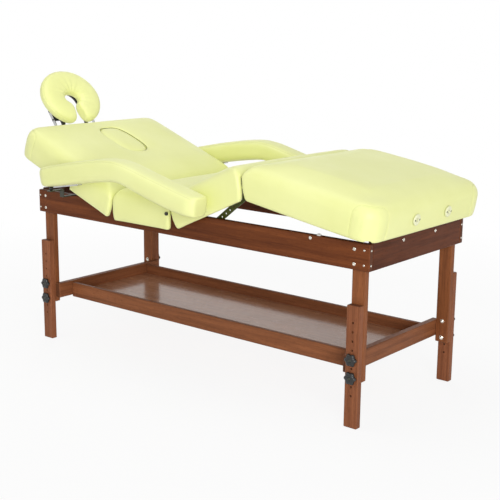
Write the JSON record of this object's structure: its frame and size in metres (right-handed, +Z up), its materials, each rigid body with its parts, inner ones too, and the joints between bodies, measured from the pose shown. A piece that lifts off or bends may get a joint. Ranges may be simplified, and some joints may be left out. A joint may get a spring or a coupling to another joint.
{
  "type": "massage table",
  "caption": "Stationary wooden massage table with a padded sectional top, raised back and knee sections, arched armrests, tilting face cradle, shelf and height-adjustable legs.",
  "frame": {"origin": "under the middle of the table's box, on the floor", "axes": "+X towards the foot end, -X towards the head end, +Y across the table, +Z up"},
  "size_m": [2.0428, 1.0274, 1.1704],
  "materials": {
    "mahogany": "stained, satin varnish",
    "glossy_panel": "glossy varnish",
    "dark_board": "dark, matt",
    "lemon_vinyl": "soft-grain upholstery vinyl",
    "black_plastic": "satin",
    "bright_steel": "zinc plated",
    "dark_steel": "olive-black coating",
    "white_plastic": "satin"
  },
  "bodies": {
    "frame": {"side_rail_near": "mahogany", "side_rail_far": "mahogany", "end_rail_head": "mahogany", "end_rail_foot": "mahogany", "fixed_leg_head_near": "mahogany", "fixed_leg_head_far": "mahogany", "fixed_leg_foot_near": "mahogany", "fixed_leg_foot_far": "mahogany", "shelf_cross_board_head": "mahogany", "shelf_cross_board_foot": "mahogany", "shelf_side_board_near": "mahogany", "shelf_side_board_far": "mahogany", "shelf_panel": "glossy_panel", "seat_board": "dark_board", "seat_cushion": "lemon_vinyl", "back_hinge_fixed_leaf": "bright_steel", "thigh_hinge_fixed_leaf": "bright_steel", "armrest_plate_near": "dark_steel", "armrest_plate_far": "dark_steel", "armrest_web_near": "dark_steel", "armrest_web_far": "dark_steel"},
    "back": {"back_board": "dark_board", "back_cushion": "lemon_vinyl", "head_socket_bar": "white_plastic", "back_hinge_moving_leaf": "bright_steel"},
    "thigh": {"thigh_board": "dark_board", "thigh_cushion": "lemon_vinyl", "thigh_hinge_moving_leaf": "bright_steel", "knee_hinge_fixed_leaf": "bright_steel"},
    "leg": {"leg_board": "dark_board", "leg_cushion": "lemon_vinyl", "foot_socket_bar": "white_plastic", "knee_hinge_moving_leaf": "bright_steel"},
    "back_prop": {"back_prop": "bright_steel"},
    "thigh_stay_near": {"thigh_stay_near": "dark_steel"},
    "thigh_stay_far": {"thigh_stay_far": "dark_steel"},
    "plug": {"face_hole_plug": "lemon_vinyl"},
    "armrest_near": {"armrest_pad_near": "lemon_vinyl", "armrest_bar_near": "bright_steel"},
    "armrest_far": {"armrest_pad_far": "lemon_vinyl", "armrest_bar_far": "bright_steel"},
    "armrest_knob_near": {"armrest_knob_near": "black_plastic"},
    "armrest_knob_far": {"armrest_knob_far": "black_plastic"},
    "leg_head_near": {"sliding_leg_head_near": "mahogany"},
    "leg_head_far": {"sliding_leg_head_far": "mahogany"},
    "leg_foot_near": {"sliding_leg_foot_near": "mahogany"},
    "leg_foot_far": {"sliding_leg_foot_far": "mahogany"},
    "knob_head_near_lower": {"leg_knob_head_near_lower": "black_plastic"},
    "knob_head_near_upper": {"leg_knob_head_near_upper": "black_plastic"},
    "knob_head_far_lower": {"leg_knob_head_far_lower": "black_plastic"},
    "knob_head_far_upper": {"leg_knob_head_far_upper": "black_plastic"},
    "knob_foot_near_lower": {"leg_knob_foot_near_lower": "black_plastic"},
    "knob_foot_near_upper": {"leg_knob_foot_near_upper": "black_plastic"},
    "knob_foot_far_lower": {"leg_knob_foot_far_lower": "black_plastic"},
    "knob_foot_far_upper": {"leg_knob_foot_far_upper": "black_plastic"},
    "cradle_frame": {"cradle_frame": "bright_steel"},
    "cradle": {"cradle_platform": "black_plastic", "cradle_cushion": "lemon_vinyl"},
    "cradle_knob": {"cradle_knob": "black_plastic"}
  },
  "joints": [
    {"name": "back_hinge", "type": "hinge", "parent": "frame", "child": "back", "pos_m": [-0.24508, 0, 0.678], "axis": [0, 1, 0], "range_deg": [-21, 3]},
    {"name": "back_prop_pivot", "type": "hinge", "parent": "back", "child": "back_prop", "pos_m": [-0.58762, 0, 0.79021], "axis": [0, 1, 0], "range_deg": [-35, 6]},
    {"name": "plug_lift", "type": "slide", "parent": "back", "child": "plug", "axis": [0.3584, 0, 0.9336], "range_m": [0, 0.12]},
    {"name": "thigh_hinge", "type": "hinge", "parent": "frame", "child": "thigh", "pos_m": [0.07992, 0, 0.678], "axis": [0, -1, 0], "range_deg": [-24.7, 0]},
    {"name": "knee_hinge", "type": "hinge", "parent": "thigh", "child": "leg", "pos_m": [0.43606, 0, 0.84181], "axis": [0, 1, 0], "range_deg": [-35, 1]},
    {"name": "thigh_stay_near_pivot", "type": "hinge", "parent": "thigh", "child": "thigh_stay_near", "pos_m": [0.43042, 0, 0.80619], "axis": [0, -1, 0], "range_deg": [-11, 1]},
    {"name": "thigh_stay_far_pivot", "type": "hinge", "parent": "thigh", "child": "thigh_stay_far", "pos_m": [0.43042, 0, 0.80619], "axis": [0, -1, 0], "range_deg": [-11, 1]},
    {"name": "armrest_near_lift", "type": "slide", "parent": "frame", "child": "armrest_near", "axis": [0, 0, 1], "range_m": [0, 0.12]},
    {"name": "armrest_far_lift", "type": "slide", "parent": "frame", "child": "armrest_far", "axis": [0, 0, 1], "range_m": [0, 0.12]},
    {"name": "armrest_knob_near_turn", "type": "hinge", "parent": "frame", "child": "armrest_knob_near", "pos_m": [-0.53508, -0.458, 0.715], "axis": [0, 0, 1], "continuous": true},
    {"name": "armrest_knob_far_turn", "type": "hinge", "parent": "frame", "child": "armrest_knob_far", "pos_m": [-0.53508, 0.458, 0.715], "axis": [0, 0, 1], "continuous": true},
    {"name": "leg_head_near_slide", "type": "slide", "parent": "frame", "child": "leg_head_near", "axis": [0, 0, 1], "range_m": [0, 0.1008]},
    {"name": "leg_head_far_slide", "type": "slide", "parent": "frame", "child": "leg_head_far", "axis": [0, 0, 1], "range_m": [0, 0.1008]},
    {"name": "leg_foot_near_slide", "type": "slide", "parent": "frame", "child": "leg_foot_near", "axis": [0, 0, 1], "range_m": [0, 0.1008]},
    {"name": "leg_foot_far_slide", "type": "slide", "parent": "frame", "child": "leg_foot_far", "axis": [0, 0, 1], "range_m": [0, 0.1008]},
    {"name": "knob_head_near_lower_turn", "type": "hinge", "parent": "leg_head_near", "child": "knob_head_near_lower", "pos_m": [-0.72308, -0.3453, 0.187], "axis": [0, 1, 0], "continuous": true},
    {"name": "knob_head_near_upper_turn", "type": "hinge", "parent": "leg_head_near", "child": "knob_head_near_upper", "pos_m": [-0.72308, -0.3453, 0.2542], "axis": [0, 1, 0], "continuous": true},
    {"name": "knob_head_far_lower_turn", "type": "hinge", "parent": "leg_head_far", "child": "knob_head_far_lower", "pos_m": [-0.72308, 0.3453, 0.187], "axis": [0, 1, 0], "continuous": true},
    {"name": "knob_head_far_upper_turn", "type": "hinge", "parent": "leg_head_far", "child": "knob_head_far_upper", "pos_m": [-0.72308, 0.3453, 0.2542], "axis": [0, 1, 0], "continuous": true},
    {"name": "knob_foot_near_lower_turn", "type": "hinge", "parent": "leg_foot_near", "child": "knob_foot_near_lower", "pos_m": [0.91692, -0.3453, 0.187], "axis": [0, 1, 0], "continuous": true},
    {"name": "knob_foot_near_upper_turn", "type": "hinge", "parent": "leg_foot_near", "child": "knob_foot_near_upper", "pos_m": [0.91692, -0.3453, 0.2542], "axis": [0, 1, 0], "continuous": true},
    {"name": "knob_foot_far_lower_turn", "type": "hinge", "parent": "leg_foot_far", "child": "knob_foot_far_lower", "pos_m": [0.91692, 0.3453, 0.187], "axis": [0, 1, 0], "continuous": true},
    {"name": "knob_foot_far_upper_turn", "type": "hinge", "parent": "leg_foot_far", "child": "knob_foot_far_upper", "pos_m": [0.91692, 0.3453, 0.2542], "axis": [0, 1, 0], "continuous": true},
    {"name": "cradle_slide", "type": "slide", "parent": "back", "child": "cradle_frame", "axis": [-0.9336, 0, 0.3584], "range_m": [0, 0.1]},
    {"name": "cradle_tilt", "type": "hinge", "parent": "cradle_frame", "child": "cradle", "pos_m": [-0.90044, 0, 0.91565], "axis": [0, 1, 0], "range_deg": [-34, 25]},
    {"name": "cradle_knob_turn", "type": "hinge", "parent": "cradle_frame", "child": "cradle_knob", "pos_m": [-0.90044, 0, 0.91565], "axis": [0, 1, 0], "continuous": true}
  ],
  "couplings": [
    {"joint": "knee_hinge", "follows": "thigh_hinge", "ratio": 1.3765},
    {"joint": "thigh_stay_near_pivot", "follows": "thigh_hinge", "ratio": 0.421},
    {"joint": "thigh_stay_far_pivot", "follows": "thigh_hinge", "ratio": 0.421},
    {"joint": "back_prop_pivot", "follows": "back_hinge", "ratio": 1.62}
  ]
}
